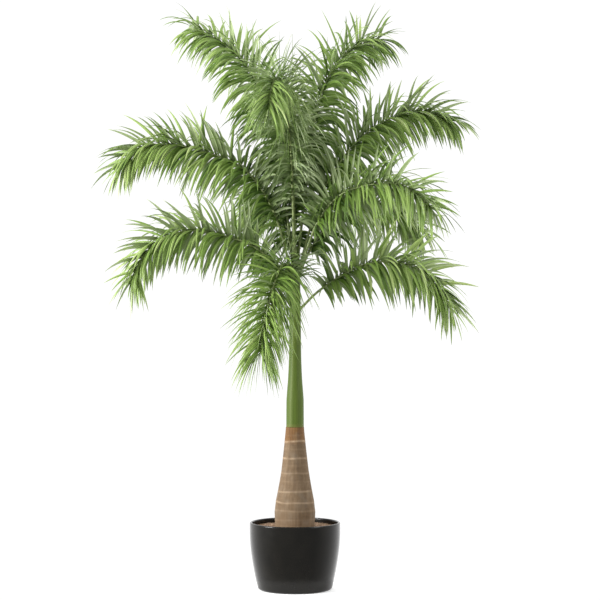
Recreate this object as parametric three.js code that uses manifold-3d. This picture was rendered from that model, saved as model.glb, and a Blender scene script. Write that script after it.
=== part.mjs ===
// A potted palm: a round planter filled with soil, a tapering ringed trunk, a smooth
// crownshaft of wrapped leaf bases, an unopened spear leaf and twelve arching fronds.
// Millimetres, +Z up. The origin is the centre of the planter's flat underside, and -Y is the front.

import * as THREE from "three";
import { mergeVertices } from "three/addons/utils/BufferGeometryUtils.js";
import Module from "manifold-3d";

const GAP = 0.3; // between two pieces that touch
const FINEST = 0.2; // edges shorter than this, left by joining leaflets to a rachis, are closed up

const POT = {
  height: 335,
  footRadius: 184,
  bellyRadius: 226,
  bellyHeight: 300,
  cornerRadius: 17,
  wall: 12,
  floor: 16,
  sides: 32,
  bands: 5, // steps up the curved side
};

const SOIL = {
  edgeHeight: 309, // where the soil meets the planter wall
  middleHeight: 315, // where it is heaped against the trunk
};

const TRUNK = {
  foot: 230, // how low the trunk reaches into the soil
  top: 810,
  sides: 18,
  // [height, radius] up the trunk: a swollen foot that narrows to the neck
  outline: [[250, 80], [300, 98], [385, 102], [445, 95], [495, 85], [545, 76], [595, 68], [645, 62],
    [695, 56.5], [745, 51], [795, 46]],
  footRadius: 60,
  neckRadius: 45,
};

const CROWNSHAFT = {
  bottom: TRUNK.top + GAP,
  top: 1715,
  sides: 14,
  footRadius: 44,
  topRadius: 11,
  outline: [[945, 44], [995, 40.5], [1045, 36.5], [1095, 34], [1145, 32], [1245, 30], [1400, 28.5],
    [1560, 26], [1660, 23], [1700, 18]],
};

const SPEAR = {
  tip: 2775,
  lean: -14, // how far the tip leans along X
  radius: 6,
  tipRadius: 1.2,
  sides: 6,
  steps: 6,
};

const RACHIS = {
  baseRadius: 9.5,
  tipRadius: 2.2,
  sides: 5,
  petioleSteps: 4, // along the stretch with no leaflets
};

const LEAFLET = {
  pairs: 10, // on each side of a frond
  steps: 3,
  width: 28,
  thickness: 3,
  rootDepth: 1, // how far the root is sunk past the middle line of the rachis
  rootShare: 0.2, // width of the root, as a share of the widest place
  spreadFoot: 66, // degrees between leaflet and rachis, near the petiole
  spreadTip: 30, // and at the end of the frond
  lifts: [66, -22, 24, -44], // degrees above the plane of the frond, taken in turn
  droop: 1.6, // how strongly a hanging leaflet bends down towards its tip
  stiffness: 0.75, // how much of that bend an upright leaflet resists
  room: 2, // clear space kept round a leaflet
};

// Each frond leaves the crownshaft in its own upright plane and arches over.
// heading: degrees from +X, turning from right to back. arch: [reach, height, sway] of its middle line.
// bare: the share of its length with no leaflets. leaf: the length of its longest leaflets.
const FRONDS = [
  { name: "frond_low_front", heading: -110, bare: 0.16, leaf: 255,
    arch: [[10, 1440], [65, 1565], [130, 1622], [205, 1605], [285, 1530], [370, 1425], [440, 1305], [480, 1195]] },
  { name: "frond_low_right", heading: -8, bare: 0.22, leaf: 235,
    arch: [[10, 1385], [125, 1495], [335, 1617], [480, 1635], [620, 1595], [735, 1485], [775, 1405]] },
  { name: "frond_low_left", heading: 188, bare: 0.16, leaf: 240,
    arch: [[10, 1465], [75, 1585], [200, 1705], [400, 1775], [555, 1785], [695, 1730], [785, 1620], [805, 1545]] },
  { name: "frond_front_right", heading: -35, bare: 0.26, leaf: 250,
    arch: [[10, 1530], [70, 1690], [125, 1810], [185, 1890], [270, 1960], [388, 1997], [520, 2010], [617, 1999],
      [705, 1955], [795, 1880]] },
  { name: "frond_back_right", heading: 32, bare: 0.22, leaf: 240,
    arch: [[10, 1550], [92, 1696], [216, 1825], [372, 1895], [530, 1900], [662, 1850], [765, 1760]] },
  { name: "frond_back_left", heading: 118, bare: 0.22, leaf: 240,
    arch: [[10, 1570], [60, 1740], [120, 1870], [220, 1960], [340, 1985], [450, 1930], [540, 1830]] },
  { name: "frond_mid_left", heading: 176, bare: 0.24, leaf: 250,
    arch: [[10, 1545], [45, 1690], [92, 1850], [165, 1995], [275, 2115], [450, 2188], [625, 2225], [755, 2222],
      [845, 2188], [905, 2145]] },
  { name: "frond_mid_right", heading: 5, bare: 0.24, leaf: 250,
    arch: [[10, 1560], [60, 1750], [130, 1960], [215, 2120], [315, 2238], [425, 2315], [575, 2365], [700, 2368],
      [810, 2335]] },
  { name: "frond_back", heading: 92, bare: 0.26, leaf: 245,
    arch: [[12, 1640], [58, 1880], [112, 2090], [210, 2260], [340, 2350], [480, 2350], [600, 2270]] },
  { name: "frond_top_left", heading: 153, bare: 0.3, leaf: 255,
    arch: [[12, 1640], [56, 1950], [95, 2200], [170, 2450], [290, 2630], [410, 2725], [560, 2800]] },
  { name: "frond_top_right", heading: 40, bare: 0.3, leaf: 250,
    arch: [[12, 1640], [56, 1900], [100, 2200], [145, 2420], [200, 2570], [310, 2715], [410, 2778],
      [520, 2815]] },
  { name: "frond_top_front", heading: -100, bare: 0.24, leaf: 260,
    arch: [[12, 1650], [62, 1950], [115, 2180], [230, 2370], [380, 2470], [530, 2490], [640, 2430], [710, 2330]] },
];

const COLOURS = {
  pot: { color: "#262622", roughness: 0.42, metalness: 0 },
  soil: { color: "#7a6656", roughness: 0.95, metalness: 0 },
  trunk: { color: "#a08a6e", roughness: 0.8, metalness: 0 },
  crownshaft: { color: "#7c9150", roughness: 0.45, metalness: 0 },
  frond: { color: "#5f7f35", roughness: 0.5, metalness: 0 },
};

const wasm = await Module();
wasm.setup();

// --- shapes -------------------------------------------------------------------------------

// A round body about the Z axis from [radius, height] points that start and end on the axis.
function turned(points, sides) {
  const profile = points.map(([radius, height]) => new THREE.Vector2(radius, height));
  return new THREE.LatheGeometry(profile, sides).rotateX(Math.PI / 2);
}

// A closed body over rings of points, all with the same count. The last ring may be a single point.
function skinned(rings) {
  const count = rings[0].length;
  const corners = rings.flat().flatMap((point) => point.toArray());
  const faces = [];
  for (let ring = 0; ring + 1 < rings.length; ring += 1) {
    const low = ring * count;
    const high = low + count;
    const pointed = rings[ring + 1].length === 1;
    for (let side = 0; side < count; side += 1) {
      const next = (side + 1) % count;
      if (pointed) {
        faces.push(low + side, low + next, high);
      } else {
        faces.push(low + side, low + next, high + next, low + side, high + next, high + side);
      }
    }
  }
  const end = (rings.length - 1) * count;
  for (let side = 1; side + 1 < count; side += 1) {
    faces.push(0, side + 1, side);
    if (rings.at(-1).length > 1) {
      faces.push(end, end + side, end + side + 1);
    }
  }
  const geometry = new THREE.BufferGeometry();
  geometry.setAttribute("position", new THREE.Float32BufferAttribute(corners, 3));
  geometry.setIndex(faces);
  return geometry;
}

// A solid for joining and cutting, from any closed geometry.
function solid(geometry) {
  const bare = geometry.clone();
  bare.deleteAttribute("normal");
  bare.deleteAttribute("uv");
  const merged = mergeVertices(bare, 1e-4);
  const corners = merged.index.array;
  const faces = [];
  for (let i = 0; i < corners.length; i += 3) {
    const [a, b, c] = corners.slice(i, i + 3);
    if (a !== b && b !== c && c !== a) {
      faces.push(a, b, c);
    }
  }
  return new wasm.Manifold(new wasm.Mesh({
    numProp: 3,
    vertProperties: merged.attributes.position.array,
    triVerts: Uint32Array.from(faces),
  }));
}

// A named mesh of a solid, in its own material.
function piece(name, body, look) {
  const { vertProperties, triVerts } = body.getMesh();
  const geometry = new THREE.BufferGeometry();
  geometry.setAttribute("position", new THREE.BufferAttribute(vertProperties, 3));
  geometry.setIndex(new THREE.BufferAttribute(triVerts, 1));
  geometry.computeVertexNormals();
  const mesh = new THREE.Mesh(geometry, new THREE.MeshStandardMaterial(look));
  mesh.name = name;
  return mesh;
}

// Points on a quarter or half round, from one angle to another, in degrees.
function arc(centreRadius, centreHeight, radius, from, to, steps) {
  return Array.from({ length: steps + 1 }, (_, step) => {
    const angle = THREE.MathUtils.degToRad(THREE.MathUtils.lerp(from, to, step / steps));
    return [centreRadius + radius * Math.cos(angle), centreHeight + radius * Math.sin(angle)];
  });
}

// --- planter, soil, trunk -----------------------------------------------------------------

// The planter's outer radius at a height: a gently bulging side that stands upright at the rim.
function potRadius(height) {
  const rise = Math.min(height / POT.bellyHeight, 1);
  return POT.footRadius + (POT.bellyRadius - POT.footRadius) * Math.sin((rise * Math.PI) / 2);
}

function potSide(inset, from, to) {
  return Array.from({ length: POT.bands + 1 }, (_, band) => {
    const height = THREE.MathUtils.lerp(from, to, band / POT.bands);
    return [potRadius(height) - inset, height];
  });
}

function potSolid() {
  const { cornerRadius, wall, floor, height } = POT;
  const lip = wall / 2;
  return solid(turned([
    [0, 0],
    ...arc(potRadius(cornerRadius) - cornerRadius, cornerRadius, cornerRadius, -90, -15, 2),
    ...potSide(0, cornerRadius * 1.5, height - lip),
    ...arc(POT.bellyRadius - lip, height - lip, lip, 30, 150, 2),
    ...potSide(wall, floor, height - lip).reverse(),
    [0, floor],
  ], POT.sides));
}

function soilSolid(trunk) {
  const { floor, wall, sides } = POT;
  const bed = floor + GAP;
  const fill = solid(turned([
    [0, bed],
    ...potSide(wall + GAP * 2, bed, SOIL.edgeHeight),
    [TRUNK.outline[1][1] + 20, SOIL.middleHeight],
    [0, SOIL.middleHeight],
  ], sides));
  return fill.subtract(trunk);
}

// The trunk, or with a margin the room that it takes in the soil.
function trunkSolid(margin) {
  const { foot, footRadius, outline, neckRadius, top, sides } = TRUNK;
  return solid(turned([
    [0, foot - margin],
    [footRadius + margin, foot - margin],
    ...outline.map(([height, radius]) => [radius + margin, height]),
    [neckRadius + margin, top],
    [0, top],
  ], sides));
}

function crownshaftSolid(margin) {
  const { bottom, footRadius, outline, topRadius, top, sides } = CROWNSHAFT;
  return solid(turned([
    [0, bottom],
    [footRadius + margin, bottom],
    ...outline.map(([height, radius]) => [radius + margin, height]),
    [topRadius + margin, top + margin],
    [0, top + margin],
  ], sides));
}

// --- fronds -------------------------------------------------------------------------------

// A round ring of points about a centre, in the plane of two unit directions.
function ring(centre, across, up, radius, sides) {
  return Array.from({ length: sides }, (_, side) => {
    const angle = (side / sides) * Math.PI * 2;
    return centre.clone()
      .addScaledVector(across, radius * Math.cos(angle))
      .addScaledVector(up, radius * Math.sin(angle));
  });
}

function spearSolid() {
  const { tip, lean, radius, tipRadius, sides, steps } = SPEAR;
  const across = new THREE.Vector3(1, 0, 0);
  const back = new THREE.Vector3(0, 1, 0);
  const foot = CROWNSHAFT.top + GAP;
  return solid(skinned(Array.from({ length: steps + 1 }, (_, step) => {
    const along = step / steps;
    const centre = new THREE.Vector3(lean * along, 0, THREE.MathUtils.lerp(foot, tip, along));
    return ring(centre, across, back, THREE.MathUtils.lerp(radius, tipRadius, along), sides);
  })));
}

// The middle line of a frond and its side direction.
function frondLine(frond) {
  const turn = THREE.MathUtils.degToRad(frond.heading);
  const out = new THREE.Vector3(Math.cos(turn), Math.sin(turn), 0);
  const side = new THREE.Vector3(-out.y, out.x, 0);
  const points = frond.arch.map(([reach, height, sway = 0]) => out.clone()
    .multiplyScalar(reach)
    .addScaledVector(side, sway)
    .setZ(height));
  return { curve: new THREE.CatmullRomCurve3(points, false, "centripetal"), side };
}

// Place, direction and upper side of the rachis at a share of its length.
function rachisFrame({ curve, side }, along) {
  const centre = curve.getPointAt(along);
  const tangent = curve.getTangentAt(along);
  const across = side.clone().addScaledVector(tangent, -side.dot(tangent)).normalize();
  const up = tangent.clone().cross(across).normalize();
  return { centre, tangent, across, up };
}

// Where a pair of leaflets sits, as a share of the frond's length.
function pairPlace(frond, pair) {
  return frond.bare + ((1 - frond.bare) * (pair + 0.5)) / LEAFLET.pairs;
}

// The petiole and rachis, with a ring at every pair of leaflets, so that their roots are inside it.
function rachisSolid(frond) {
  const { baseRadius, tipRadius, sides, petioleSteps } = RACHIS;
  const line = frondLine(frond);
  const places = [];
  for (let step = 0; step < petioleSteps; step += 1) {
    places.push((frond.bare * step) / petioleSteps);
  }
  for (let pair = 0; pair < LEAFLET.pairs; pair += 1) {
    places.push(pairPlace(frond, pair));
  }
  return solid(skinned([...places, 1].map((along) => {
    const { centre, across, up } = rachisFrame(line, along);
    return ring(centre, across, up, THREE.MathUtils.lerp(baseRadius, tipRadius, along), sides);
  })));
}

// One leaflet: a long blade with a ridge, widest a third of the way out, bending down to a point.
function leafletSolid(frond, line, pair, hand, margin) {
  const { pairs, steps, width, thickness, rootDepth, rootShare, spreadFoot, spreadTip } = LEAFLET;
  const share = (pair + 0.5) / pairs;
  const { centre, tangent, across, up } = rachisFrame(line, pairPlace(frond, pair));
  const spread = THREE.MathUtils.degToRad(THREE.MathUtils.lerp(spreadFoot, spreadTip, share));
  const lift = THREE.MathUtils.degToRad(LEAFLET.lifts[(pair + (hand > 0 ? 0 : 2)) % LEAFLET.lifts.length]);
  const droop = LEAFLET.droop * (1 - LEAFLET.stiffness * Math.max(0, Math.sin(lift)));
  const start = tangent.clone().multiplyScalar(Math.cos(spread))
    .addScaledVector(across, Math.sin(spread) * Math.cos(lift) * hand)
    .addScaledVector(up, Math.sin(spread) * Math.sin(lift));
  const length = frond.leaf * (0.5 + 0.5 * Math.sin(Math.PI * (0.15 + 0.73 * share)));
  const rings = [];
  const place = centre.clone().addScaledVector(start, -rootDepth);
  for (let step = 0; step <= steps; step += 1) {
    const out = step / steps;
    const direction = start.clone().add(new THREE.Vector3(0, 0, -droop * out ** 1.3)).normalize();
    const wide = tangent.clone().addScaledVector(direction, -tangent.dot(direction)).normalize();
    const ridge = wide.clone().cross(direction).multiplyScalar(hand).normalize();
    const half = (width / 2) * (step === 0 ? rootShare : Math.sin(Math.PI * (0.3 + 0.7 * out))) + margin;
    if (step === steps) {
      rings.push([place.clone().addScaledVector(direction, margin)]);
    } else {
      rings.push([
        place.clone().addScaledVector(wide, half).addScaledVector(ridge, -margin),
        place.clone().addScaledVector(ridge, thickness + margin),
        place.clone().addScaledVector(wide, -half).addScaledVector(ridge, -margin),
      ]);
      place.addScaledVector(direction, length / steps);
    }
  }
  if (hand > 0) {
    rings.forEach((points) => points.reverse());
  }
  return solid(skinned(rings));
}

// The rachis with its leaflets. One that would touch something already in place is left out.
function leafySolid(frond, rachis, taken) {
  const line = frondLine(frond);
  let body = rachis;
  for (let pair = 0; pair < LEAFLET.pairs; pair += 1) {
    for (const hand of [1, -1]) {
      const room = leafletSolid(frond, line, pair, hand, LEAFLET.room);
      if (room.intersect(taken).isEmpty()) {
        body = body.add(leafletSolid(frond, line, pair, hand, 0));
      }
    }
  }
  return body.simplify(FINEST);
}

// --- the whole palm -----------------------------------------------------------------------

const palm = new THREE.Group();
palm.name = "potted_palm";

const trunk = trunkSolid(0);
const crownshaft = crownshaftSolid(0);
const crownshaftRoom = crownshaftSolid(GAP);
const spear = spearSolid();
const stems = [trunk, crownshaft, spear];
const fronds = FRONDS.map((frond) => rachisSolid(frond).subtract(crownshaftRoom));

palm.add(piece("pot", potSolid(), COLOURS.pot));
palm.add(piece("soil", soilSolid(trunkSolid(GAP)), COLOURS.soil));
palm.add(piece("trunk", trunk, COLOURS.trunk));
palm.add(piece("crownshaft", crownshaft, COLOURS.crownshaft));
palm.add(piece("spear_leaf", spear, COLOURS.frond));

FRONDS.forEach((frond, place) => {
  const others = fronds.filter((_, other) => other !== place);
  const taken = wasm.Manifold.union([...stems, ...others]);
  fronds[place] = leafySolid(frond, fronds[place], taken);
  palm.add(piece(frond.name, fronds[place], COLOURS.frond));
});

export default palm;
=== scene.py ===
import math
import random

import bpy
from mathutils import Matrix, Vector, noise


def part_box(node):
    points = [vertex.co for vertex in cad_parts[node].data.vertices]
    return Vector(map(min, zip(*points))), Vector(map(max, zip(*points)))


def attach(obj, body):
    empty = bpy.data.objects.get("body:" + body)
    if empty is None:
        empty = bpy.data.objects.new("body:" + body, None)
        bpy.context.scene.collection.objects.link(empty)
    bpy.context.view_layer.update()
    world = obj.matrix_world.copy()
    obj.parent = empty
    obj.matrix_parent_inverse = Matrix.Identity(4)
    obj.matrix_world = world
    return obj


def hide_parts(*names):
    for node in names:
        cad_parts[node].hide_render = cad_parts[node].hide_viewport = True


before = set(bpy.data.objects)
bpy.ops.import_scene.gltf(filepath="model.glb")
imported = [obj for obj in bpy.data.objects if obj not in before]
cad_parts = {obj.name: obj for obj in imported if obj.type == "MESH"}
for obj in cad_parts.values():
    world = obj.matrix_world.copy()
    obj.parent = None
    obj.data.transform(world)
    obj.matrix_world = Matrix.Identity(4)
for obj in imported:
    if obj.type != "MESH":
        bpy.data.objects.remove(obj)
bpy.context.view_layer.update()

# The looks of a potted palm: a moulded resin planter, potting soil with loose crumbs, a ringed trunk,
# a waxy crownshaft, an unopened spear leaf and twelve feather fronds with more than two hundred
# leaflets each. Metres, +Z up, the front towards -Y. Each frond follows an arch close to its node's.

_, POT_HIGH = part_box("pot")
SOIL_LOW, SOIL_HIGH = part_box("soil")

MM = 0.001
UP = Vector((0, 0, 1))

# --- driving sizes --------------------------------------------------------------------------

POT_WALL = 12 * MM
POT_FOOT_RADIUS = 184 * MM
POT_BELLY_HEIGHT = 300 * MM
POT_CORNER_RADIUS = 17 * MM
POT_UNDERSIDE_RADII = [80 * MM, 130 * MM]  # rings of corners on the flat underside
POT_FLOOR_GAP = 0.3 * MM  # between the planter's floor and the soil
POT_SIDES = 160
POT_STEPS = 36
POT_CORNER_STEPS = 8
POT_LIP_STEPS = 12

SOIL_EDGE_HEIGHT = SOIL_HIGH.z - 4 * MM
SOIL_HEAP_HEIGHT = SOIL_HIGH.z - 2 * MM  # at the trunk
SOIL_EDGE_GAP = 0.4 * MM  # between the soil and the planter's wall, at the top
SOIL_FOOT_GAP = 0.6 * MM  # the same at the bottom
SOIL_ROWS = 46

CRUMBS = 1500
CRUMB_REACH = (100 * MM, 208 * MM)  # from the trunk's foot to the planter's wall
CRUMB_SIZES = [1.6, 2.2, 3.0, 4.2]  # mm
CRUMB_SIDES = 5
CRUMB_RINGS = [(-0.9, 0.45), (0, 1), (0.9, 0.4)]  # place along a crumb and radius there, in sizes

TRUNK_SIDES = 144
TRUNK_STEPS = 300
TRUNK_FOOT = 20 * MM  # the plain plug at the bottom, inside the soil
TRUNK_FOOT_RADIUS = 60 * MM
TRUNK_OUTLINE = [(250, 80), (300, 98), (385, 102), (445, 95), (495, 85), (545, 76), (595, 68),
                 (645, 62), (695, 56.5), (745, 51), (795, 46), (810, 45)]  # height and radius, mm
# Old leaf scars up the trunk: height in mm, and how strongly each still shows.
RING_SCARS = [(352, 0.2), (398, 0.3), (437, 0.75), (494, 0.65), (541, 0.15), (582, 0.4), (622, 0.15),
              (657, 0.8), (702, 0.15), (741, 1.0), (772, 0.1)]
SCAR_HALF_WIDTH = 8  # mm
SCAR_WANDER = 5  # mm up or down as it goes round

CROWNSHAFT_SIDES = 96
CROWNSHAFT_STEPS = 220
CROWNSHAFT_OUTLINE = [(810, 44.5), (945, 44), (995, 40.5), (1045, 36.5), (1095, 34), (1145, 32),
                      (1245, 30), (1400, 28.5), (1560, 26), (1660, 23), (1700, 18), (1715, 11)]
CROWNSHAFT_FOOT = 0.81  # height, metres
SEAM_START = math.radians(-128)  # where the outer sheath's edge is at the crownshaft's foot
SEAM_TURN = 0.55  # radians that it goes round in each metre
SEAM_YELLOW = 0.45  # radians past the edge over which the yellow fades
SEAM_LIP = 1.3 * MM  # how far the edge stands proud
SEAM_LIP_FADE = 5  # radians past the edge over which it sinks back
SHEATH_INSET = 1.0 * MM  # the sheath away from its edge, inside the outline

PETIOLE_RADIUS = 8.5 * MM
RACHIS_TIP_RADIUS = 1.6 * MM
RACHIS_SIDES = 12
RACHIS_STEPS = 70
ARCH_STEPS = 24  # between two points of an arch
MIDDLE_LINE_STEPS = 400

SPEAR_LEAN = -14 * MM
SPEAR_FOOT_RADIUS = 5.6 * MM
SPEAR_TIP_RADIUS = 0.9 * MM
SPEAR_SIDES = 12
SPEAR_STEPS = 60

# Where a pair of leaflet numbers stands, the first is for the petiole's end and the second for the tip.
LEAFLET_SPACING = 5.7 * MM  # along the rachis, on each side
LEAFLET_WIDTH = 17.5 * MM
LEAFLET_THICKNESS = 0.9 * MM
LEAFLET_FOLD = 0.16  # height of the ridge, as a share of the width
LEAFLET_STEPS = 9
LEAFLET_SPREAD = (74, 40)  # degrees from the rachis
LEAFLET_LIFTS = [74, -30, 36, -56, 6, -72, 56, -42]  # degrees above the frond's plane, taken in turn
LEFT_TO_RIGHT = 5  # places in LEAFLET_LIFTS that the right side is ahead of the left
LEAFLET_DROOP = (2.2, 2.5)
UPRIGHT_STIFFNESS = 0.74  # the share of its droop that an upright leaflet loses
CLUMP = 4.5  # leaflets that lean together before the next few lean another way
CLUMP_SPREAD = (30, 16)  # degrees
CLUMP_LIFT = 24  # degrees
SPREAD_SCATTER = 7  # degrees
LIFT_SCATTER = 17  # degrees
DROOP_SCATTER = (0.65, 1.3)
LENGTH_SCATTER = (0.74, 1.08)
WIDTH_SCATTER = (0.8, 1.15)
TWIST_SCATTER = (-0.5, 0.5)  # radians at the blade's tip

# A leaflet's tone goes from 0, dark, to 1, pale.
MIDDLE_TONE = 0.5
FROND_TONE_SCATTER = 0.08
OLD_TONE_AND_PAINTED_LIGHT = 0.16  # added to the oldest, lowest fronds: partly their paler age, partly painted light against the shade that the fronds above cast on them
INNER_PAINTED_SHADE = 0.3  # painted shade, taken from leaflets near the crownshaft, where the crown's inside lies in shade
CLUMP_TONE = 0.24
TONE_SCATTER = 0.19
OLDEST_FOOT = 1380  # mm, the height at which the oldest frond leaves the crownshaft
MATURE_FOOT = 1580  # mm, where fronds are no longer pale with age nor lifted with painted light

FLOOR_RADIUS = 0.3
BACKDROP = 1.05  # strength of the white that the camera sees
LIGHT_FROM_FRONT = 0.52  # strength of the white that lights the palm
LIGHT_FROM_BACK = 1.6
LIGHTS = [  # name, place, what it points at, side in metres, watts
    ("key", (-7.35, -2.85, 2.75), (0, 0, 1.4), 2.7, 1130),
    ("fill", (4.4, -2.6, 3.0), (0, 0, 2.0), 2.5, 145),
    ("top", (-0.6, -1.2, 5.8), (0, 0, 1.8), 2.5, 50),
]

CAMERA_DISTANCE = 9.6
CAMERA_SIDE = 0.025
CAMERA_HEIGHT = 1.445
VIEW_WIDTH = 3.0  # metres that fit across the view at the palm
SENSOR_WIDTH = 36  # mm

# Each frond leaves the crownshaft in its own upright plane and arches over.
# heading: degrees from +X, turning from right to back. arch: reach and height of its middle line, mm.
# bare: the share of its length with no leaflets. leaf: the length of its longest leaflets, mm.
# droop: how far its leaflets bend down, against the rest. fine: how many times more and narrower they are.
FRONDS = [
    {"node": "frond_low_front", "heading": -110, "bare": 0.1, "leaf": 292, "droop": 0.84, "fine": 1.7,
     "arch": [(10, 1440), (65, 1565), (130, 1622), (205, 1605), (285, 1530), (370, 1425), (440, 1305),
              (480, 1195)]},
    {"node": "frond_low_right", "heading": -8, "bare": 0.19, "leaf": 245,
     "arch": [(10, 1385), (125, 1495), (335, 1617), (480, 1635), (620, 1595), (735, 1485), (775, 1405)]},
    {"node": "frond_low_left", "heading": 188, "bare": 0.16, "leaf": 240,
     "arch": [(10, 1465), (75, 1585), (200, 1705), (400, 1775), (555, 1785), (695, 1730), (785, 1620),
              (805, 1545)]},
    {"node": "frond_front_right", "heading": -35, "bare": 0.26, "leaf": 250,
     "arch": [(10, 1530), (70, 1690), (125, 1810), (185, 1890), (270, 1960), (388, 1997), (520, 2010),
              (617, 1999), (705, 1955), (795, 1880)]},
    {"node": "frond_back_right", "heading": 32, "bare": 0.16, "leaf": 258,
     "arch": [(10, 1550), (92, 1700), (214, 1845), (368, 1930), (526, 1945), (662, 1895), (768, 1800)]},
    {"node": "frond_back_left", "heading": 118, "bare": 0.16, "leaf": 250,
     "arch": [(10, 1570), (60, 1740), (120, 1870), (220, 1960), (340, 1985), (450, 1930), (540, 1830)]},
    {"node": "frond_mid_left", "heading": 176, "bare": 0.24, "leaf": 250,
     "arch": [(10, 1545), (45, 1690), (92, 1850), (165, 1995), (275, 2115), (450, 2188), (625, 2225),
              (755, 2214), (830, 2170), (868, 2112)]},
    {"node": "frond_mid_right", "heading": 5, "bare": 0.24, "leaf": 250,
     "arch": [(10, 1560), (60, 1750), (130, 1960), (215, 2120), (315, 2243), (425, 2328), (570, 2386),
              (688, 2388), (785, 2348)]},
    {"node": "frond_back", "heading": 92, "bare": 0.2, "leaf": 195,
     "arch": [(12, 1640), (58, 1880), (112, 2090), (210, 2260), (340, 2350), (480, 2350), (600, 2270)]},
    {"node": "frond_top_left", "heading": 153, "bare": 0.3, "leaf": 255,
     "arch": [(12, 1640), (56, 1950), (95, 2200), (170, 2460), (295, 2652), (420, 2755), (575, 2830)]},
    {"node": "frond_top_right", "heading": 40, "bare": 0.3, "leaf": 250,
     "arch": [(12, 1640), (56, 1900), (102, 2200), (150, 2420), (214, 2565), (336, 2700), (446, 2762),
              (566, 2790)]},
    {"node": "frond_top_front", "heading": -100, "bare": 0.24, "leaf": 260, "fine": 1.5,
     "arch": [(12, 1650), (62, 1950), (115, 2180), (230, 2370), (380, 2470), (530, 2490), (635, 2430),
              (698, 2335)]},
]


# --- small helpers --------------------------------------------------------------------------

def mix(low, high, share):
    """Part of the way from low to high."""
    return low + (high - low) * share


def smooth(share):
    """0 to 1 with soft ends."""
    share = min(max(share, 0), 1)
    return share * share * (3 - 2 * share)


def along_outline(outline, height):
    """The radius of a (height, radius) outline at a height, in a straight line between its points."""
    for (low, radius_low), (high, radius_high) in zip(outline, outline[1:]):
        if height <= high:
            return mix(radius_low, radius_high, (height - low) / (high - low))
    return outline[-1][1]


def linear(colour):
    """An sRGB hex colour as linear RGBA."""
    parts = [int(colour[place:place + 2], 16) / 255 for place in (1, 3, 5)]
    return [part / 12.92 if part <= 0.04045 else ((part + 0.055) / 1.055) ** 2.4 for part in parts] + [1]


def per_metre(size):
    """The scale of a pattern whose grains or lines are a size in mm apart."""
    return 1 / (size * MM)


def add(tree, kind, inputs=None, take=None, stops=(), **settings):
    """Adds a node, sets it up, and gives its inputs a value each or a link from another node.

    stops: the places and hex colours of a colour ramp. Returns the output named by take, or else the
    first that is in use."""
    node = tree.nodes.new(kind)
    for name, value in settings.items():
        setattr(node, name, value)
    for _ in stops[2:]:  # a new ramp has two stops
        node.color_ramp.elements.new(0.5)
    for number, (place, shade) in enumerate(stops):
        node.color_ramp.elements[number].position = place
        node.color_ramp.elements[number].color = linear(shade)
    in_use = {socket.name: socket for socket in reversed(node.inputs) if socket.enabled}
    for name, value in (inputs or {}).items():
        socket = node.inputs[name] if isinstance(name, int) else in_use[name]
        if isinstance(value, bpy.types.NodeSocket):
            tree.links.new(value, socket)
        else:
            socket.default_value = value
    return node.outputs[take] if take else next(socket for socket in node.outputs if socket.enabled)


def new_material(name):
    """A material with a Principled shader, and its tree, shader and surface coordinates."""
    material = bpy.data.materials.new(name)
    material.use_nodes = True
    tree = material.node_tree
    place = add(tree, "ShaderNodeTexCoord", take="Object")
    return material, tree, tree.nodes["Principled BSDF"], place


def new_piece(name, corners, faces, material, nodes):
    """A mesh object that stands for frame nodes and rides on the palm."""
    mesh = bpy.data.meshes.new(name)
    mesh.from_pydata(corners, [], faces)
    mesh.shade_smooth()
    mesh.materials.append(material)
    piece = bpy.data.objects.new(name, mesh)
    bpy.context.scene.collection.objects.link(piece)
    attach(piece, "root")
    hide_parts(*nodes)
    return piece


def skinned(rings, faces_from=0):
    """Faces over rings of corners, each ring with the same count, and a cap at each end."""
    count = len(rings[0])
    faces = []
    for ring in range(len(rings) - 1):
        low = faces_from + ring * count
        high = low + count
        for side in range(count):
            after = (side + 1) % count
            faces.append((low + side, low + after, high + after, high + side))
    end = faces_from + (len(rings) - 1) * count
    faces.append(tuple(faces_from + side for side in reversed(range(count))))
    faces.append(tuple(end + side for side in range(count)))
    return faces


def turned(profile, sides, push=None):
    """Corners and faces of a round body from (radius, height) points that start and end on the axis.

    push(angle, height) moves a point outwards."""
    corners = [(0, 0, profile[0][1])]
    for radius, height in profile[1:-1]:
        for side in range(sides):
            angle = 2 * math.pi * side / sides
            out = radius + (push(angle, height) if push else 0)
            corners.append((out * math.cos(angle), out * math.sin(angle), height))
    corners.append((0, 0, profile[-1][1]))
    last = len(corners) - 1
    faces = []
    rows = len(profile) - 2
    for side in range(sides):
        after = (side + 1) % sides
        faces.append((0, 1 + after, 1 + side))
        for row in range(rows - 1):
            low = 1 + row * sides
            high = low + sides
            faces.append((low + side, low + after, high + after, high + side))
        top = 1 + (rows - 1) * sides
        faces.append((top + side, top + after, last))
    return corners, faces


# --- materials ------------------------------------------------------------------------------

def moulded_resin():
    """Fibre-filled polyester resin, moulded and satin painted: near black, with a soft even gloss
    that turns bright at glancing angles, and an orange-peel skin, drawn coarser than it is to show."""
    material, tree, shader, place = new_material("moulded_resin_satin_charcoal")
    peel = add(tree, "ShaderNodeTexNoise", {"Vector": place, "Scale": per_metre(4.55), "Detail": 3})
    clouds = add(tree, "ShaderNodeTexNoise", {"Vector": place, "Scale": per_metre(71.4), "Detail": 4})
    colour = add(tree, "ShaderNodeValToRGB", {"Fac": clouds}, stops=[(0.3, "#12110e"), (0.7, "#181612")])
    gloss = add(tree, "ShaderNodeMapRange", {"Value": clouds, "From Min": 0.3, "From Max": 0.7,
                                             "To Min": 0.2, "To Max": 0.26})
    bump = add(tree, "ShaderNodeBump", {"Height": peel, "Strength": 0.12, "Distance": 0.4 * MM})
    tree.links.new(colour, shader.inputs["Base Color"])
    tree.links.new(gloss, shader.inputs["Roughness"])
    tree.links.new(bump, shader.inputs["Normal"])
    shader.inputs["Specular IOR Level"].default_value = 0.24
    return material


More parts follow.
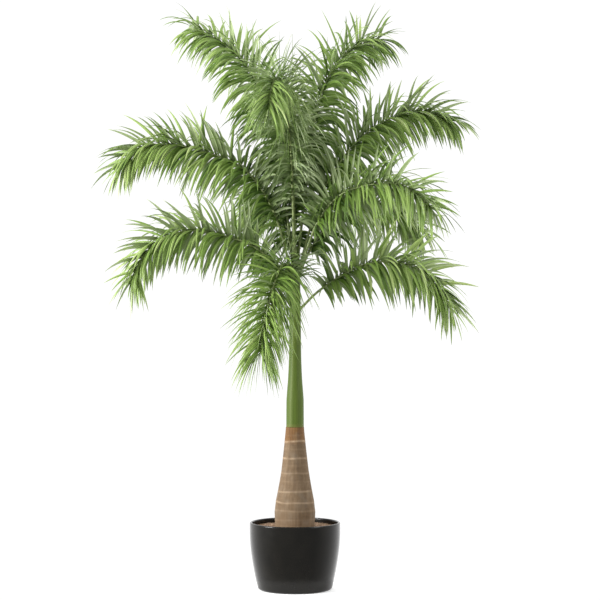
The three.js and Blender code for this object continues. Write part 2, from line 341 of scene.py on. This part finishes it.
def potting_soil():
    """Dry peat and composted bark: matt brown crumbs about 6 mm across, in several tones, with painted
    shade darkening the sunken gaps."""
    material, tree, shader, place = new_material("potting_soil_crumbly")
    crumbs = add(tree, "ShaderNodeTexVoronoi", {"Vector": place, "Scale": per_metre(6.25)}, take="Distance")
    clouds = add(tree, "ShaderNodeTexNoise", {"Vector": place, "Scale": per_metre(33.3), "Detail": 6})
    tone = add(tree, "ShaderNodeMix", {"Factor": 0.5, "A": crumbs, "B": clouds}, data_type="FLOAT")
    # The ramp's dark end, where the bump sinks, is painted shade in the gaps; the rest is the soil's own
    # tones.
    colour = add(tree, "ShaderNodeValToRGB", {"Fac": tone},
                 stops=[(0.15, "#6c5544"), (0.5, "#a1876f"), (0.85, "#bba28e")])
    bump = add(tree, "ShaderNodeBump", {"Height": tone, "Strength": 0.6, "Distance": 3 * MM})
    tree.links.new(colour, shader.inputs["Base Color"])
    tree.links.new(bump, shader.inputs["Normal"])
    shader.inputs["Roughness"].default_value = 0.95
    shader.inputs["Specular IOR Level"].default_value = 0.2
    return material


def bark_colour(tree, place, streaks):
    """Tan and grey-brown streaks, and a fresher orange-brown band under the crownshaft."""
    height = add(tree, "ShaderNodeSeparateXYZ", {"Vector": place}, take="Z")
    fresh = add(tree, "ShaderNodeMapRange", {"Value": height, "From Min": 0.725, "From Max": 0.752})
    old = add(tree, "ShaderNodeValToRGB", {"Fac": streaks},
              stops=[(0.28, "#6a5743"), (0.5, "#746049"), (0.72, "#806c55")])
    young = add(tree, "ShaderNodeValToRGB", {"Fac": streaks},
                stops=[(0.28, "#6a4c30"), (0.5, "#785836"), (0.75, "#89683f")])
    return add(tree, "ShaderNodeMix", {"Factor": fresh, "A": old, "B": young}, data_type="RGBA")


def bark_grain(tree, bark, fibres, bands):
    """The bark's colour darkened between its upright fibres and along its level growth lines."""
    fine = add(tree, "ShaderNodeValToRGB", {"Fac": fibres}, stops=[(0.3, "#b8b2ac"), (0.6, "#ffffff")])
    lines = add(tree, "ShaderNodeValToRGB", {"Fac": bands},
                stops=[(0.3, "#b5aea6"), (0.5, "#e8e6e2"), (0.66, "#ffffff")])
    fibred = add(tree, "ShaderNodeMix", {"Factor": 0.3, "A": bark, "B": fine},
                 data_type="RGBA", blend_type="MULTIPLY")
    return add(tree, "ShaderNodeMix", {"Factor": 0.28, "A": fibred, "B": lines},
               data_type="RGBA", blend_type="MULTIPLY")


def ringed_bark():
    """Smooth palm bark, weathered by growth: streaky tan, greyed in patches, with upright fibres 3 mm
    wide and 100 mm long, growth lines 9 mm apart, and pale rings where leaves fell."""
    material, tree, shader, place = new_material("palm_bark_ringed")
    upright = add(tree, "ShaderNodeMapping", {"Vector": place, "Scale": (1, 1, 0.03)})
    level = add(tree, "ShaderNodeMapping", {"Vector": place, "Scale": (0.12, 0.12, 1)})
    fibres = add(tree, "ShaderNodeTexNoise", {"Vector": upright, "Scale": per_metre(3.125), "Detail": 5})
    streaks = add(tree, "ShaderNodeTexNoise", {"Vector": upright, "Scale": per_metre(14.3), "Detail": 4})
    bands = add(tree, "ShaderNodeTexNoise", {"Vector": level, "Scale": per_metre(9.09), "Detail": 5})
    clouds = add(tree, "ShaderNodeTexNoise", {"Vector": place, "Scale": per_metre(62.5), "Detail": 5})
    rings = add(tree, "ShaderNodeAttribute", attribute_name="scar", take="Fac")
    grain = bark_grain(tree, bark_colour(tree, place, streaks), fibres, bands)
    grey = add(tree, "ShaderNodeMapRange", {"Value": clouds, "From Min": 0.5, "From Max": 0.75,
                                            "To Max": 0.3})
    worn = add(tree, "ShaderNodeMix", {"Factor": grey, "A": grain, "B": linear("#8f8678")},
               data_type="RGBA")
    faint = add(tree, "ShaderNodeMath", {0: rings, 1: 0.62}, operation="MULTIPLY")
    scarred = add(tree, "ShaderNodeMix", {"Factor": faint, "A": worn, "B": linear("#b8a186")},
                  data_type="RGBA")
    relief = add(tree, "ShaderNodeMath", {0: fibres, 1: bands}, operation="ADD")
    bump = add(tree, "ShaderNodeBump", {"Height": relief, "Strength": 0.3, "Distance": MM})
    tree.links.new(scarred, shader.inputs["Base Color"])
    tree.links.new(bump, shader.inputs["Normal"])
    shader.inputs["Roughness"].default_value = 0.8
    shader.inputs["Specular IOR Level"].default_value = 0.25
    return material


def waxy_sheath():
    """Living leaf sheath with a thin natural wax: smooth mid green, with faint ribs 4 mm apart along
    its length, a yellower seam and a paler foot."""
    material, tree, shader, place = new_material("palm_sheath_waxy")
    height = add(tree, "ShaderNodeSeparateXYZ", {"Vector": place}, take="Z")
    upright = add(tree, "ShaderNodeMapping", {"Vector": place, "Scale": (1, 1, 0.02)})
    ribs = add(tree, "ShaderNodeTexNoise", {"Vector": upright, "Scale": per_metre(3.85), "Detail": 3})
    clouds = add(tree, "ShaderNodeTexNoise", {"Vector": upright, "Scale": per_metre(38.5), "Detail": 3})
    green = add(tree, "ShaderNodeValToRGB", {"Fac": clouds},
                stops=[(0.3, "#485a1f"), (0.5, "#4f6124"), (0.7, "#57692a")])
    fine = add(tree, "ShaderNodeValToRGB", {"Fac": ribs}, stops=[(0.3, "#d8d8d8"), (0.6, "#ffffff")])
    ribbed = add(tree, "ShaderNodeMix", {"Factor": 0.5, "A": green, "B": fine},
                 data_type="RGBA", blend_type="MULTIPLY")
    seam = add(tree, "ShaderNodeAttribute", attribute_name="seam", take="Fac")
    yellowed = add(tree, "ShaderNodeMix", {"Factor": seam, "A": ribbed, "B": linear("#5f6d34")},
                   data_type="RGBA")
    foot = add(tree, "ShaderNodeMapRange", {"Value": height, "From Min": 0.83, "From Max": 0.811})
    footed = add(tree, "ShaderNodeMix", {"Factor": foot, "A": yellowed, "B": linear("#636733")},
                 data_type="RGBA")
    bump = add(tree, "ShaderNodeBump", {"Height": ribs, "Strength": 0.25, "Distance": 0.6 * MM})
    tree.links.new(footed, shader.inputs["Base Color"])
    tree.links.new(bump, shader.inputs["Normal"])
    shader.inputs["Roughness"].default_value = 0.5
    shader.inputs["Specular IOR Level"].default_value = 0.18
    return material


def rachis_skin():
    """The hard outer skin of a palm leaf stalk: grey-green, mottled light and dark."""
    material, tree, shader, place = new_material("palm_stalk_skin")
    clouds = add(tree, "ShaderNodeTexNoise", {"Vector": place, "Scale": per_metre(16.67), "Detail": 6})
    colour = add(tree, "ShaderNodeValToRGB", {"Fac": clouds},
                 stops=[(0.3, "#586436"), (0.5, "#74834b"), (0.72, "#97a568")])
    bump = add(tree, "ShaderNodeBump", {"Height": clouds, "Strength": 0.2, "Distance": MM})
    tree.links.new(colour, shader.inputs["Base Color"])
    tree.links.new(bump, shader.inputs["Normal"])
    shader.inputs["Roughness"].default_value = 0.55
    return material


def leaflet_blade():
    """Living palm leaflet: satin green above and paler below, with sixteen fine veins along it, painted
    shade darkening its root by the rachis, and light that comes through the thin blade."""
    material, tree, shader, _ = new_material("palm_leaflet_satin")
    blade = add(tree, "ShaderNodeAttribute", attribute_name="blade", take="Vector")
    tone = add(tree, "ShaderNodeAttribute", attribute_name="tone", take="Fac")
    parts = add(tree, "ShaderNodeSeparateXYZ", {"Vector": blade}).node.outputs
    # The tone holds random and clump tone, and also painted shade near the crownshaft and painted light on
    # the lowest fronds.
    upper = add(tree, "ShaderNodeValToRGB", {"Fac": tone},
                stops=[(0.0, "#4e6c2a"), (0.35, "#809f46"), (0.7, "#aac46e"), (1.0, "#c8d892")])
    under = add(tree, "ShaderNodeValToRGB", {"Fac": tone}, stops=[(0.0, "#90a46d"), (1.0, "#d9e3bc")])
    below = add(tree, "ShaderNodeMapRange", {"Value": parts["Z"], "From Min": 0.45, "From Max": 0.55})
    sides = add(tree, "ShaderNodeMix", {"Factor": below, "A": upper, "B": under}, data_type="RGBA")
    # Painted shade: the blade darkens towards its root, where the rachis and the leaflets round it shade
    # it.
    shade = add(tree, "ShaderNodeValToRGB", {"Fac": parts["X"]},
                stops=[(0.0, "#a9b690"), (0.22, "#e6ecdb"), (0.75, "#ffffff")])
    painted_root_shaded = add(tree, "ShaderNodeMix", {"Factor": 1, "A": sides, "B": shade},
                 data_type="RGBA", blend_type="MULTIPLY")
    veins = add(tree, "ShaderNodeTexWave", {"Vector": blade, "Scale": 5, "Distortion": 0.6},
                bands_direction="Y")
    lines = add(tree, "ShaderNodeValToRGB", {"Fac": veins}, stops=[(0.2, "#dfe6d2"), (0.8, "#ffffff")])
    veined = add(tree, "ShaderNodeMix", {"Factor": 0.6, "A": painted_root_shaded, "B": lines},
                 data_type="RGBA", blend_type="MULTIPLY")
    bump = add(tree, "ShaderNodeBump", {"Height": veins, "Strength": 0.3, "Distance": 0.4 * MM})
    tree.links.new(veined, shader.inputs["Base Color"])
    tree.links.new(bump, shader.inputs["Normal"])
    shader.inputs["Roughness"].default_value = 0.42
    shader.inputs["Specular IOR Level"].default_value = 0.5
    through = add(tree, "ShaderNodeBsdfTranslucent", {"Color": veined})
    both = add(tree, "ShaderNodeMixShader", {"Fac": 0.34, 1: shader.outputs["BSDF"], 2: through})
    tree.links.new(both, tree.nodes["Material Output"].inputs["Surface"])
    return material


# --- planter, soil, trunk, crownshaft -------------------------------------------------------

def pot_radius(height):
    """The planter's outer radius: a gently bulging side that stands upright at the rim."""
    rise = min(height / POT_BELLY_HEIGHT, 1)
    return POT_FOOT_RADIUS + (POT_HIGH.x - POT_FOOT_RADIUS) * math.sin(rise * math.pi / 2)


def rounded(centre_radius, centre_height, radius, start, end, steps):
    """Points round an arc, from one angle to another in degrees."""
    return [(centre_radius + radius * math.cos(math.radians(mix(start, end, step / steps))),
             centre_height + radius * math.sin(math.radians(mix(start, end, step / steps))))
            for step in range(steps + 1)]


def make_pot(material):
    """The turned shell: flat underside, rounded corner, bulging side, rounded lip and inside."""
    top = POT_HIGH.z
    floor = SOIL_LOW.z
    lip = POT_WALL / 2
    corner = POT_CORNER_RADIUS
    side_low, side_high = corner * 1.5, top - lip * 2
    heights = [mix(side_low, side_high, step / POT_STEPS) for step in range(POT_STEPS + 1)]
    profile = [(radius, 0) for radius in (0, *POT_UNDERSIDE_RADII)]
    profile += rounded(pot_radius(corner) - corner, corner, corner, -90, -8, POT_CORNER_STEPS)
    profile += [(pot_radius(height), height) for height in heights]
    profile += rounded(pot_radius(top) - lip, top - lip, lip, 0, 180, POT_LIP_STEPS)
    profile += [(pot_radius(height) - POT_WALL, height) for height in reversed(heights)]
    profile += [(POT_UNDERSIDE_RADII[0], floor - POT_FLOOR_GAP), (0, floor - POT_FLOOR_GAP)]
    corners, faces = turned(profile, POT_SIDES)
    return new_piece("planter_shell", corners, faces, material, ["pot"])


def soil_height(x, y):
    """The soil's surface: heaped a little at the trunk, with lumps about 36 mm across and crumbs about
    10 mm across."""
    reach = math.hypot(x, y) / (pot_radius(SOIL_EDGE_HEIGHT) - POT_WALL)
    heap = mix(SOIL_HEAP_HEIGHT, SOIL_EDGE_HEIGHT, smooth(reach))
    lumps = noise.noise(Vector((x * 28, y * 28, 1.7))) * 3.2 * MM
    crumbs = noise.noise(Vector((x * 95, y * 95, 4.1))) * 1.6 * MM
    return heap + (lumps + crumbs) * (1 - reach ** 6)


def make_soil(material):
    """The bed of soil that fills the planter, with an uneven top."""
    foot = SOIL_LOW.z
    inner = pot_radius(SOIL_EDGE_HEIGHT) - POT_WALL - SOIL_EDGE_GAP
    profile = [(0, foot), (pot_radius(foot) - POT_WALL - SOIL_FOOT_GAP, foot)]
    profile += [(inner * (1 - row / SOIL_ROWS), SOIL_EDGE_HEIGHT) for row in range(SOIL_ROWS)]
    profile += [(0, SOIL_EDGE_HEIGHT)]
    corners, faces = turned(profile, POT_SIDES)
    corners = [(x, y, z if z < SOIL_EDGE_HEIGHT - MM else soil_height(x, y)) for x, y, z in corners]
    return new_piece("soil_bed", corners, faces, material, ["soil"])


def crumb_corners(draw):
    """One loose crumb or flake: three rough rings round a middle line of its own."""
    reach = math.sqrt(mix(CRUMB_REACH[0] ** 2, CRUMB_REACH[1] ** 2, draw.random()))
    angle = draw.uniform(0, 2 * math.pi)
    x, y = reach * math.cos(angle), reach * math.sin(angle)
    size = draw.choice(CRUMB_SIZES) * MM * draw.uniform(0.7, 1.2)
    middle = Vector((x, y, soil_height(x, y) + size * 0.25))
    long = Vector((draw.uniform(-1, 1), draw.uniform(-1, 1), draw.uniform(-0.3, 0.3))).normalized()
    wide = long.cross(UP).normalized()
    tall = wide.cross(long)
    stretch = draw.uniform(1, 2.2)
    corners = []
    for ring, radius in CRUMB_RINGS:
        for side in range(CRUMB_SIDES):
            turn = 2 * math.pi * side / CRUMB_SIDES
            rough = draw.uniform(0.8, 1.2) * radius * size
            corners.append(middle + long * ring * size * stretch + wide * math.cos(turn) * rough
                           + tall * math.sin(turn) * rough * 0.6)
    return corners


def make_soil_crumbs(material):
    """Loose crumbs and flakes of bark on the soil, joined in one piece."""
    draw = random.Random(11)
    corners, faces = [], []
    for _ in range(CRUMBS):
        crumb = crumb_corners(draw)
        rings = [crumb[start:start + CRUMB_SIDES] for start in range(0, len(crumb), CRUMB_SIDES)]
        faces += skinned(rings, len(corners))
        corners += crumb
    return new_piece("soil_crumbs", corners, faces, material, ["soil"])


def scar_at(height, angle):
    """How strongly a point of the trunk lies on a leaf scar, 0 to 1."""
    best = 0
    for scar, strength in RING_SCARS:
        wander = noise.noise(Vector((math.cos(angle), math.sin(angle), scar / 30))) * SCAR_WANDER
        away = abs(height / MM - scar - wander)
        worn = 0.75 + 0.6 * noise.noise(Vector((math.cos(angle) * 3, math.sin(angle) * 3, scar)))
        best = max(best, strength * worn * (1 - smooth(away / SCAR_HALF_WIDTH)))
    return best


def trunk_push(angle, height):
    """How far the bark stands out: a lip at each scar, shallow fissures and a slow unevenness."""
    around = Vector((math.cos(angle), math.sin(angle), height * 2))
    uneven = noise.noise(around * 1.4) * 1.6 * MM
    fissures = noise.noise(Vector((math.cos(angle) * 16, math.sin(angle) * 16, height * 6))) * 0.5 * MM
    return uneven + fissures + scar_at(height, angle) * 0.9 * MM


def make_trunk(material):
    """The bark over the trunk's outline, with the strength of its scars kept for the material."""
    low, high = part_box("trunk")
    heights = [mix(low.z + TRUNK_FOOT, high.z, step / TRUNK_STEPS) for step in range(TRUNK_STEPS + 1)]
    profile = [(0, low.z), (TRUNK_FOOT_RADIUS, low.z)]
    profile += [(along_outline(TRUNK_OUTLINE, height / MM) * MM, height) for height in heights]
    profile += [(0, high.z)]
    corners, faces = turned(profile, TRUNK_SIDES, trunk_push)
    piece = new_piece("trunk_bark", corners, faces, material, ["trunk"])
    scar = piece.data.attributes.new("scar", "FLOAT", "POINT")
    scar.data.foreach_set("value", [scar_at(z, math.atan2(y, x)) for x, y, z in corners])
    return piece


def seam_angle(height):
    """Where the outer sheath's edge runs round the crownshaft, in radians."""
    return SEAM_START + (height - CROWNSHAFT_FOOT) * SEAM_TURN


def seam_distance(angle, height):
    """The angle past the sheath's edge, from 0 to a full turn."""
    return (angle - seam_angle(height)) % (2 * math.pi)


def crownshaft_push(angle, height):
    """The outer sheath overlaps itself, so its free edge stands a little proud along the seam."""
    past = seam_distance(angle, height)
    wave = noise.noise(Vector((math.cos(angle) * 1.5, math.sin(angle) * 1.5, height * 3))) * 0.8 * MM
    return SEAM_LIP * (1 - smooth(past / SEAM_LIP_FADE)) - SHEATH_INSET + wave


def make_crownshaft(material):
    """The sheath over the crownshaft's outline, with the yellow of its seam kept for the material."""
    low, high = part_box("crownshaft")
    heights = [mix(low.z, high.z, step / CROWNSHAFT_STEPS) for step in range(CROWNSHAFT_STEPS + 1)]
    profile = [(0, low.z)]
    profile += [(along_outline(CROWNSHAFT_OUTLINE, height / MM) * MM, height) for height in heights]
    profile += [(0, high.z)]
    corners, faces = turned(profile, CROWNSHAFT_SIDES, crownshaft_push)
    piece = new_piece("crownshaft_sheath", corners, faces, material, ["crownshaft"])
    seam = piece.data.attributes.new("seam", "FLOAT", "POINT")
    seam.data.foreach_set("value", [max(0, 1 - seam_distance(math.atan2(y, x), z) / SEAM_YELLOW)
                                    for x, y, z in corners])
    return piece


# --- fronds ---------------------------------------------------------------------------------

def arch_points(frond):
    """The arch's points in space and the frond's side direction."""
    turn = math.radians(frond["heading"])
    out = Vector((math.cos(turn), math.sin(turn), 0))
    points = [out * reach * MM + UP * height * MM for reach, height in frond["arch"]]
    return points, Vector((-out.y, out.x, 0))


def spline(points):
    """A centripetal spline through points, as many close places."""
    padded = [points[0] * 2 - points[1], *points, points[-1] * 2 - points[-2]]
    places = []
    for before, start, end, after in zip(padded, padded[1:], padded[2:], padded[3:]):
        knot_1 = (start - before).length ** 0.5
        knot_2 = knot_1 + (end - start).length ** 0.5
        knot_3 = knot_2 + (after - end).length ** 0.5
        for step in range(ARCH_STEPS):
            now = mix(knot_1, knot_2, step / ARCH_STEPS)
            leg_1 = before.lerp(start, now / knot_1)
            leg_2 = start.lerp(end, (now - knot_1) / (knot_2 - knot_1))
            leg_3 = end.lerp(after, (now - knot_2) / (knot_3 - knot_2))
            early = leg_1.lerp(leg_2, now / knot_2)
            late = leg_2.lerp(leg_3, (now - knot_1) / (knot_3 - knot_1))
            places.append(early.lerp(late, (now - knot_1) / (knot_2 - knot_1)))
    return places + [points[-1]]


def evenly_spaced(places, steps):
    """Places at even steps along a line of uneven ones, and the line's length."""
    lengths = [0]
    for start, end in zip(places, places[1:]):
        lengths.append(lengths[-1] + (end - start).length)
    line, segment = [], 0
    for step in range(steps + 1):
        wanted = lengths[-1] * step / steps
        while segment < len(places) - 2 and lengths[segment + 1] < wanted:
            segment += 1
        span = lengths[segment + 1] - lengths[segment]
        line.append(places[segment].lerp(places[segment + 1], (wanted - lengths[segment]) / span))
    return line, lengths[-1]


class Stalk:
    """The middle line of a frond, with its direction, side and upper side at any share of its length."""

    def __init__(self, frond):
        points, self.side = arch_points(frond)
        self.line, self.length = evenly_spaced(spline(points), MIDDLE_LINE_STEPS)

    def at(self, share):
        """The middle, and the directions along, across and up. The first is taken over seven steps of
        the line, so that it turns smoothly."""
        place = min(max(share, 0), 1) * (len(self.line) - 1)
        step = min(int(place), len(self.line) - 2)
        centre = self.line[step].lerp(self.line[step + 1], place - step)
        before = self.line[max(step - 3, 0)]
        after = self.line[min(step + 4, len(self.line) - 1)]
        tangent = (after - before).normalized()
        across = (self.side - tangent * self.side.dot(tangent)).normalized()
        return centre, tangent, across, tangent.cross(across)

    def radius(self, share):
        """Half the stalk's thickness, tapering to its tip."""
        return mix(PETIOLE_RADIUS, RACHIS_TIP_RADIUS, share ** 0.8)


def make_stalk(frond, stalk, material):
    """Petiole and rachis: oval, flat on top with a shallow channel, and spread at its foot to clasp
    the crownshaft."""
    rings = []
    for step in range(RACHIS_STEPS + 1):
        share = step / RACHIS_STEPS
        centre, _, across, up = stalk.at(share)
        radius = stalk.radius(share)
        clasp = 1 + 0.7 * (1 - smooth(share / 0.1))
        ring = []
        for side in range(RACHIS_SIDES):
            angle = 2 * math.pi * side / RACHIS_SIDES
            channel = 1 - 0.35 * max(0, math.sin(angle)) ** 3 * (1 - 0.7 * share)
            ring.append(centre + across * math.cos(angle) * radius * clasp
                        + up * math.sin(angle) * radius * channel)
        rings.append(ring)
    corners = [corner for ring in rings for corner in ring]
    return new_piece(frond["node"] + "_stalk", corners, skinned(rings), material,
                     [frond["node"]])


def leaflet_rings(centre, start, tangent, length, width, droop, hand, twist):
    """A long folded blade that bends down to a point, as rings of four corners: edge, ridge, edge
    and underside."""
    place = centre.copy()
    rings = []
    for step in range(LEAFLET_STEPS + 1):
        out = step / LEAFLET_STEPS
        direction = (start - UP * droop * out ** 1.3).normalized()
        wide = (tangent - direction * tangent.dot(direction)).normalized()
        ridge = wide.cross(direction) * hand
        turn = twist * out
        cosine, sine = math.cos(turn), math.sin(turn)
        wide, ridge = wide * cosine + ridge * sine, ridge * cosine - wide * sine
        swell = min(1, 0.45 + 2.8 * out) * max(0.02, 1 - out ** 2.7)
        half = width / 2 * swell
        thick = LEAFLET_THICKNESS * mix(1, 0.4, out)
        fold = half * 2 * LEAFLET_FOLD
        rings.append([place + wide * half, place + ridge * (fold + thick), place - wide * half,
                      place + ridge * fold])
        place = place + direction * length / LEAFLET_STEPS
    return rings


def leaflet_reach(share):
    """A leaflet's length against the frond's longest: short at the petiole, long to near the tip."""
    return mix(0.5, 1, smooth(share / 0.3)) * mix(1, 0.81, smooth((share - 0.5) / 0.5))


def leaflet_angles(draw, number, share, clump, hand):
    """How far a leaflet stands off the rachis and above the frond's plane, in radians."""
    spread = (mix(*LEAFLET_SPREAD, share) + clump * mix(*CLUMP_SPREAD, share)
              + draw.gauss(0, SPREAD_SCATTER))
    turn_in_cycle = number + (0 if hand > 0 else LEFT_TO_RIGHT)
    lift = (LEAFLET_LIFTS[turn_in_cycle % len(LEAFLET_LIFTS)] * mix(1, 0.6, share ** 3)
            + clump * CLUMP_LIFT + draw.gauss(0, LIFT_SCATTER))
    return math.radians(spread), math.radians(lift)


def leaflet_measures(draw, frond, share, upright):
    """A leaflet's droop, length and width. An upright one droops less and, near the tip, is longer."""
    droop = (frond.get("droop", 1) * mix(*LEAFLET_DROOP, share ** 2) * (1 - UPRIGHT_STIFFNESS * upright)
             * draw.uniform(*DROOP_SCATTER))
    length = (frond["leaf"] * MM * leaflet_reach(share) * mix(mix(1.1, 1, share), 1.1, upright)
              * draw.uniform(*LENGTH_SCATTER))
    width = (LEAFLET_WIDTH / frond.get("fine", 1) ** 0.85 * draw.uniform(*WIDTH_SCATTER)
             * mix(1, 0.88, share))
    return droop, length, width


def frond_tone(draw, frond):
    """How much paler or darker a whole frond is: the lowest are the oldest and palest, partly with age and
    partly with painted light against the shade of the fronds above.
    """
    foot = frond["arch"][0][1]
    age = 1 - smooth((foot - OLDEST_FOOT) / (MATURE_FOOT - OLDEST_FOOT))
    # Painted light, in part: the oldest, lowest fronds are lifted against the shade that the fronds above
    # cast on them.
    return draw.uniform(-FROND_TONE_SCATTER, FROND_TONE_SCATTER) + OLD_TONE_AND_PAINTED_LIGHT * age


def leaflet_tone(draw, whole, share, clump):
    """A leaflet's tone from its frond's, darkened with painted shade near the crownshaft and alike within a
    clump.
    """
    # Painted shade: leaflets near the crownshaft, inside the crown, are made darker.
    inner = 1 - smooth(share / 0.5)
    tone = MIDDLE_TONE + whole - INNER_PAINTED_SHADE * inner + clump * CLUMP_TONE + draw.gauss(0, TONE_SCATTER)
    return min(1, max(0, tone))


def blade_places(hand):
    """Where each leaflet corner lies on its blade: along, across, and 0 above or 1 below."""
    across_ring = [1, 0.5, 0, 0.5] if hand < 0 else [0.5, 0, 0.5, 1]
    under_ring = [0.5, 0, 0.5, 1] if hand < 0 else [1, 0.5, 0, 0.5]
    places = []
    for step in range(LEAFLET_STEPS + 1):
        for across, under in zip(across_ring, under_ring):
            places += [step / LEAFLET_STEPS, across, under]
    return places


def make_leaflets(frond, stalk, hand, material):
    """All leaflets on one side of a frond, in one piece, each a closed blade. hand: 1 left, -1 right."""
    draw = random.Random(f"{frond['node']} {hand}")
    bare = frond["bare"]
    fine = frond.get("fine", 1)
    count = round(stalk.length * (1 - bare) / LEAFLET_SPACING * fine)
    corners, faces, blade, tone = [], [], [], []
    whole = frond_tone(draw, frond)
    for number in range(count):
        share = (number + 0.5 + draw.uniform(-0.3, 0.3)) / count
        centre, tangent, across, up = stalk.at(bare + (1 - bare) * share)
        clump = noise.noise(Vector((number / CLUMP / fine, hand * 7.3, frond["heading"])))
        spread, lift = leaflet_angles(draw, number, share, clump, hand)
        start = (tangent * math.cos(spread) + across * math.sin(spread) * math.cos(lift) * hand
                 + up * math.sin(spread) * math.sin(lift))
        droop, length, width = leaflet_measures(draw, frond, share, max(0, math.sin(lift)))
        root = centre - up * stalk.radius(share) * 0.1
        twist = draw.uniform(*TWIST_SCATTER)
        rings = leaflet_rings(root, start, tangent, length, width, droop, hand, twist)
        if hand > 0:
            rings = [list(reversed(ring)) for ring in rings]
        faces += skinned(rings, len(corners))
        corners += [corner for ring in rings for corner in ring]
        blade += blade_places(hand)
        tone += [leaflet_tone(draw, whole, share, clump)] * (4 * len(rings))
    side = "left" if hand > 0 else "right"
    piece = new_piece(f"{frond['node']}_leaflets_{side}", corners, faces, material,
                      [frond["node"]])
    mesh = piece.data
    mesh.attributes.new("blade", "FLOAT_VECTOR", "POINT").data.foreach_set("vector", blade)
    mesh.attributes.new("tone", "FLOAT", "POINT").data.foreach_set("value", tone)
    crease_blades(mesh)
    return piece


def crease_blades(mesh):
    """Marks the lengthwise edges of the blades sharp, so that each keeps its fold. Those edges join a
    corner to the same one of the next ring, four numbers on."""
    ends = [0] * (len(mesh.edges) * 2)
    mesh.edges.foreach_get("vertices", ends)
    sharp = [abs(start - end) == 4 for start, end in zip(ends[::2], ends[1::2])]
    mesh.attributes.new("sharp_edge", "BOOLEAN", "EDGE").data.foreach_set("value", sharp)


def make_spear(material):
    """The unopened leaf: pleats folded shut into a thin tapering spear."""
    low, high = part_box("spear_leaf")
    rings = []
    for step in range(SPEAR_STEPS + 1):
        share = step / SPEAR_STEPS
        centre = Vector((SPEAR_LEAN * share, 0, mix(low.z, high.z, share)))
        radius = mix(SPEAR_FOOT_RADIUS, SPEAR_TIP_RADIUS, share ** 0.7)
        ring = []
        for side in range(SPEAR_SIDES):
            angle = 2 * math.pi * side / SPEAR_SIDES + share * 1.2
            pleat = radius * (1 if side % 2 else 0.78)
            ring.append(centre + Vector((math.cos(angle) * pleat, math.sin(angle) * pleat, 0)))
        rings.append(ring)
    corners = [corner for ring in rings for corner in ring]
    return new_piece("spear_leaf_folded", corners, skinned(rings), material, ["spear_leaf"])


# --- studio ---------------------------------------------------------------------------------

def make_floor():
    """A plain white studio floor."""
    material, _, shader, _ = new_material("studio_floor_white")
    shader.inputs["Base Color"].default_value = linear("#f4f4f4")
    shader.inputs["Roughness"].default_value = 0.9
    shader.inputs["Emission Color"].default_value = (1, 1, 1, 1)
    shader.inputs["Emission Strength"].default_value = 0.3
    turns = [math.radians(degrees) for degrees in range(0, 360, 5)]
    corners = [(FLOOR_RADIUS * math.cos(turn), FLOOR_RADIUS * math.sin(turn), 0) for turn in turns]
    mesh = bpy.data.meshes.new("studio_floor")
    mesh.from_pydata(corners, [], [tuple(range(len(corners)))])
    mesh.materials.append(material)
    floor = bpy.data.objects.new("studio_floor", mesh)
    bpy.context.scene.collection.objects.link(floor)


def make_light(name, place, aim, size, power):
    """A square soft box that points at a place."""
    data = bpy.data.lights.new(name, "AREA")
    data.size = size
    data.energy = power
    lamp = bpy.data.objects.new(name, data)
    lamp.location = place
    lamp.rotation_euler = (Vector(aim) - Vector(place)).to_track_quat("-Z", "Y").to_euler()
    bpy.context.scene.collection.objects.link(lamp)


def make_surroundings():
    """White all round to look at. The light from it on the palm is dim from the front and bright from
    the sides and back, as in a studio with pale walls behind and beside the set."""
    world = bpy.data.worlds.new("studio_white")
    bpy.context.scene.world = world
    world.use_nodes = True
    tree = world.node_tree
    seen = add(tree, "ShaderNodeLightPath", take="Is Camera Ray")
    heading = add(tree, "ShaderNodeTexCoord", take="Generated")
    backwards = add(tree, "ShaderNodeSeparateXYZ", {"Vector": heading}, take="Y")
    lit = add(tree, "ShaderNodeMapRange", {"Value": backwards, "From Min": -0.7, "From Max": 1,
                                           "To Min": LIGHT_FROM_FRONT, "To Max": LIGHT_FROM_BACK},
              interpolation_type="SMOOTHSTEP")
    strength = add(tree, "ShaderNodeMix", {"Factor": seen, "A": lit, "B": BACKDROP}, data_type="FLOAT")
    backdrop = tree.nodes["Background"]
    backdrop.inputs["Color"].default_value = (1, 1, 1, 1)
    tree.links.new(strength, backdrop.inputs["Strength"])


def make_camera():
    """A long lens at the height of the palm's middle, level, so that the trunk stays upright."""
    data = bpy.data.cameras.new("camera")
    data.sensor_width = SENSOR_WIDTH
    data.lens = SENSOR_WIDTH * CAMERA_DISTANCE / VIEW_WIDTH
    data.clip_end = 100
    camera = bpy.data.objects.new("camera", data)
    camera.location = (CAMERA_SIDE, -CAMERA_DISTANCE, CAMERA_HEIGHT)
    camera.rotation_euler = (math.radians(90), 0, 0)
    bpy.context.scene.collection.objects.link(camera)
    bpy.context.scene.camera = camera


# --- the whole palm -------------------------------------------------------------------------

make_camera()
make_floor()
make_surroundings()
for light in LIGHTS:
    make_light(*light)

make_pot(moulded_resin())
soil_finish = potting_soil()
make_soil(soil_finish)
make_soil_crumbs(soil_finish)
make_trunk(ringed_bark())
make_crownshaft(waxy_sheath())

stalk_finish = rachis_skin()
leaf_finish = leaflet_blade()
make_spear(stalk_finish)
for frond in FRONDS:
    stalk = Stalk(frond)
    make_stalk(frond, stalk, stalk_finish)
    make_leaflets(frond, stalk, 1, leaf_finish)
    make_leaflets(frond, stalk, -1, leaf_finish)

bpy.context.scene.view_settings.view_transform = "Standard"
